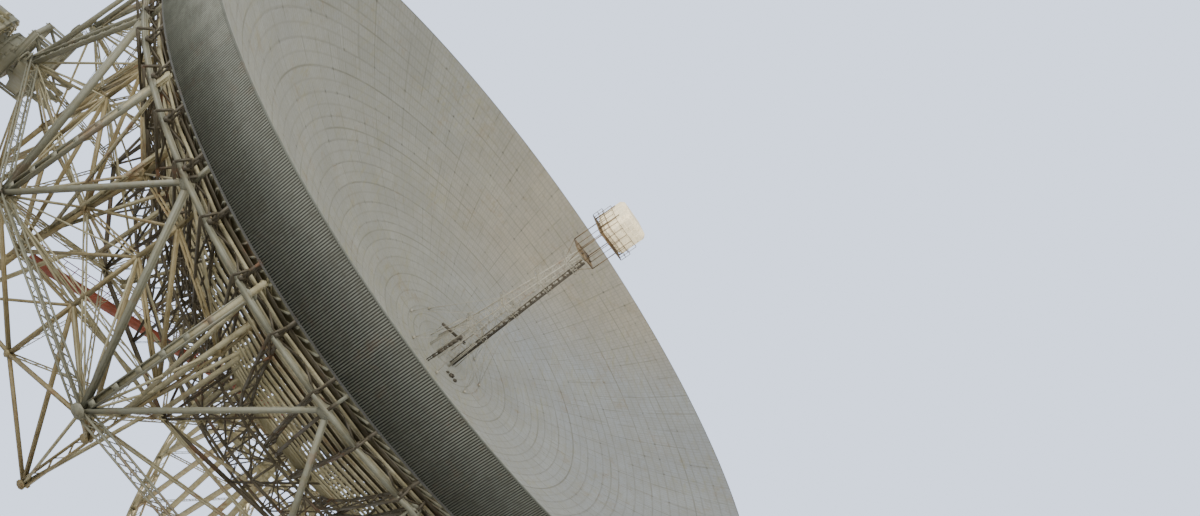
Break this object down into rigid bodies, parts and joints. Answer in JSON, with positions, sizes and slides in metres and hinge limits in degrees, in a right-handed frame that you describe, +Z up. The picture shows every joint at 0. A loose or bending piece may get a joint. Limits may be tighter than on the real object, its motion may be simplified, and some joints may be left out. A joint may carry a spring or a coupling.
{
  "type": "scale model of a radio telescope dish, 1:10",
  "caption": "Fully steerable radio telescope with a deep lattice-backed bowl that tips between two towers on a ring track, as a 1:10 scale model.",
  "frame": {"origin": "on the ground under the centre pivot, on the underside of the pintle block", "axes": "+Z up; the bowl looks to the front, -Y; the elevation axis runs along X"},
  "size_m": [10.96, 10.96, 9.2212],
  "materials": {
    "dish_panels": "satin, weathered",
    "back_skin": "matte, weathered",
    "fascia": "matte corrugated",
    "steel_paint": "satin, weathered",
    "dark_steel": "satin",
    "cabin_paint": "satin",
    "red_paint": "matte",
    "concrete": "rough"
  },
  "bodies": {
    "base": {"track_ring": "concrete", "pintle_block": "concrete"},
    "alidade": {"tower_left_inner_face": "steel_paint", "tower_left_outer_face": "steel_paint", "tower_left_front_face": "steel_paint", "tower_left_rear_face": "steel_paint", "bearing_housing_left": "steel_paint", "bogie_left_front": "dark_steel", "bogie_left_rear": "dark_steel", "tower_right_inner_face": "steel_paint", "tower_right_outer_face": "steel_paint", "tower_right_front_face": "steel_paint", "tower_right_rear_face": "steel_paint", "bearing_housing_right": "steel_paint", "bogie_right_front": "dark_steel", "bogie_right_rear": "dark_steel", "base_girder_front": "steel_paint", "base_girder_rear": "steel_paint", "cradle": "dark_steel", "pivot_frame": "dark_steel"},
    "bowl": {"dish_surface_upper_right": "dish_panels", "back_skin_upper_right": "back_skin", "drum_truss_upper_right": "steel_paint", "dish_surface_upper_left": "dish_panels", "back_skin_upper_left": "back_skin", "drum_truss_upper_left": "steel_paint", "dish_surface_lower_left": "dish_panels", "back_skin_lower_left": "back_skin", "drum_truss_lower_left": "steel_paint", "dish_surface_lower_right": "dish_panels", "back_skin_lower_right": "back_skin", "drum_truss_lower_right": "steel_paint", "rim_fascia_left": "fascia", "rim_fascia_right": "fascia", "rib_1": "steel_paint", "rib_2": "steel_paint", "rib_3": "steel_paint", "rib_4": "steel_paint", "rib_5": "steel_paint", "rib_6": "steel_paint", "rib_7": "steel_paint", "rib_8": "steel_paint", "rib_9": "steel_paint", "rib_10": "steel_paint", "rib_11": "steel_paint", "rib_12": "steel_paint", "rib_13": "steel_paint", "rib_14": "steel_paint", "hub": "steel_paint", "wheel_girder_left": "steel_paint", "trunnion_left": "dark_steel", "wheel_girder_right": "steel_paint", "trunnion_right": "dark_steel", "mast": "steel_paint", "focus_frame": "steel_paint", "focus_cabin": "cabin_paint", "service_beam": "red_paint"}
  },
  "joints": [
    {"name": "azimuth", "type": "hinge", "parent": "base", "child": "alidade", "pos_m": [0, 0, 0.4], "axis": [0, 0, 1], "range_deg": [-225, 225]},
    {"name": "elevation", "type": "hinge", "parent": "alidade", "child": "bowl", "pos_m": [0, 0, 5.05], "axis": [-1, 0, 0], "range_deg": [-7.7, 77.3]}
  ]
}
